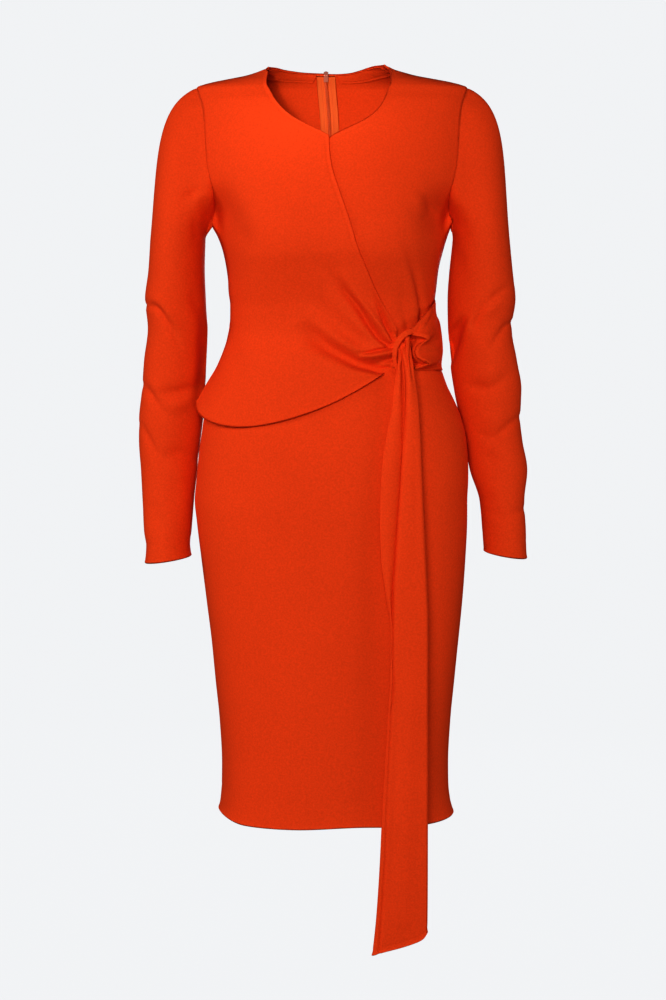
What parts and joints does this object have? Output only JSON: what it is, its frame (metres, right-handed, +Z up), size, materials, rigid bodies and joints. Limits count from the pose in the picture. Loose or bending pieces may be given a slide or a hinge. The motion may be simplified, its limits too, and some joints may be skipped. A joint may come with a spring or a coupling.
{
  "type": "bodycon dress",
  "caption": "Knee-length bodycon dress in crepe with long sleeves, a wrapped front, a side peplum and a sash drawn through a loop at the waist.",
  "frame": {"origin": "midway between the two high points of the neck, where the shoulder seams start", "axes": "+Z up, +X towards the wearer's left, -Y out of the front"},
  "size_m": [0.5266, 0.2476, 1.1761],
  "materials": {
    "crepe": "matte crepe",
    "zip_cloth": "woven tape",
    "zip_coil": "coiled nylon",
    "zip_metal": "tinted metal"
  },
  "bodies": {
    "dress": {"bodice_back_left": "crepe", "bodice_back_right": "crepe", "bodice_front_left": "crepe", "wrap_front_right": "crepe", "skirt_front": "crepe", "skirt_back_left": "crepe", "skirt_back_right": "crepe", "sleeve_left": "crepe", "sleeve_right": "crepe", "waist_tab": "crepe", "loop_band": "crepe", "sash_tail": "crepe", "neck_facing_left": "crepe", "neck_facing_right": "crepe", "zip_tape_left": "zip_cloth", "zip_tape_right": "zip_cloth", "zip_coil": "zip_coil", "zip_slider": "zip_metal"},
    "zip_pull": {"zip_pull": "zip_metal"}
  },
  "joints": [
    {"name": "zip_pull_swing", "type": "hinge", "parent": "dress", "child": "zip_pull", "pos_m": [-0.008, 0.0538, -0.00744], "axis": [1, 0, 0], "range_deg": [0, 140]}
  ]
}
